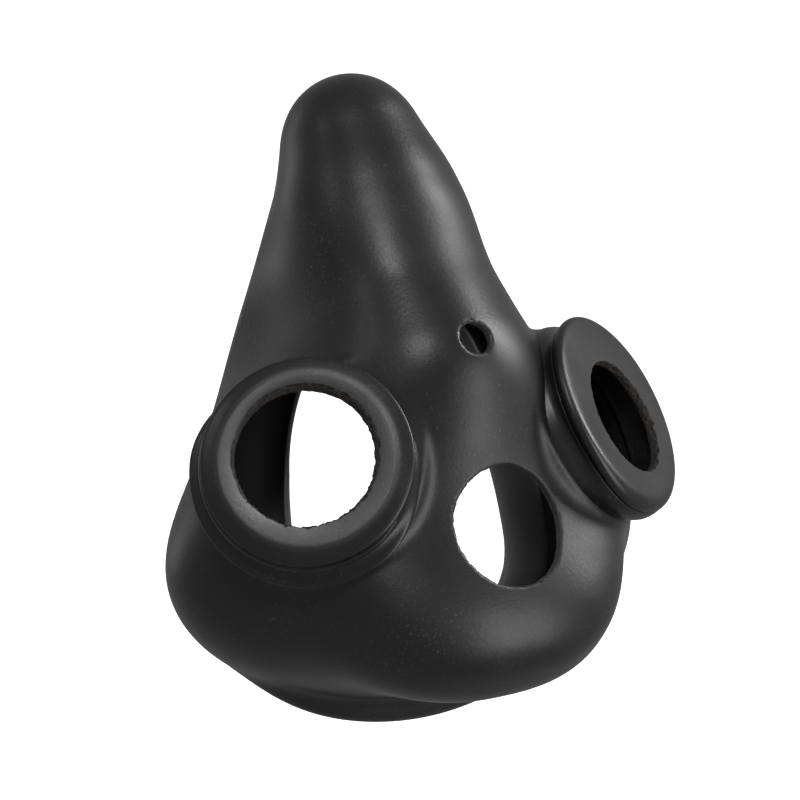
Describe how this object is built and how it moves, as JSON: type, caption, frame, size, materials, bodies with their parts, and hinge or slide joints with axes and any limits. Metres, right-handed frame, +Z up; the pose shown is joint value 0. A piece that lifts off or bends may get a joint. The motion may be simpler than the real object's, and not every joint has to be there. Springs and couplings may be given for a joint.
{
  "type": "half-mask facepiece",
  "caption": "Black rubber half-mask facepiece with a tall nose, stepped open side ports, a cut front hole, a small nose hole and an inturned face seal.",
  "frame": {"origin": "the middle of the face opening, in the plane of the rim, level with the side ports in the mask's own upright pose", "axes": "+Z up and -Y forward in the pose shown, in which the mask leans back so that its side ports point about 30 degrees upwards; +Y towards the wearer; X across the face"},
  "size_m": [0.13, 0.0976, 0.1553],
  "materials": {
    "shell_rubber": "satin black moulded rubber, fine speckle",
    "port_rubber": "satin black rubber with lighter hand-cut edges",
    "seal_rubber": "smooth soft black rubber"
  },
  "bodies": {
    "root": {"face_shell": "shell_rubber", "face_seal": "seal_rubber", "left_port_ring": "port_rubber", "right_port_ring": "port_rubber", "left_port_base": "port_rubber", "right_port_base": "port_rubber"}
  },
  "joints": []
}
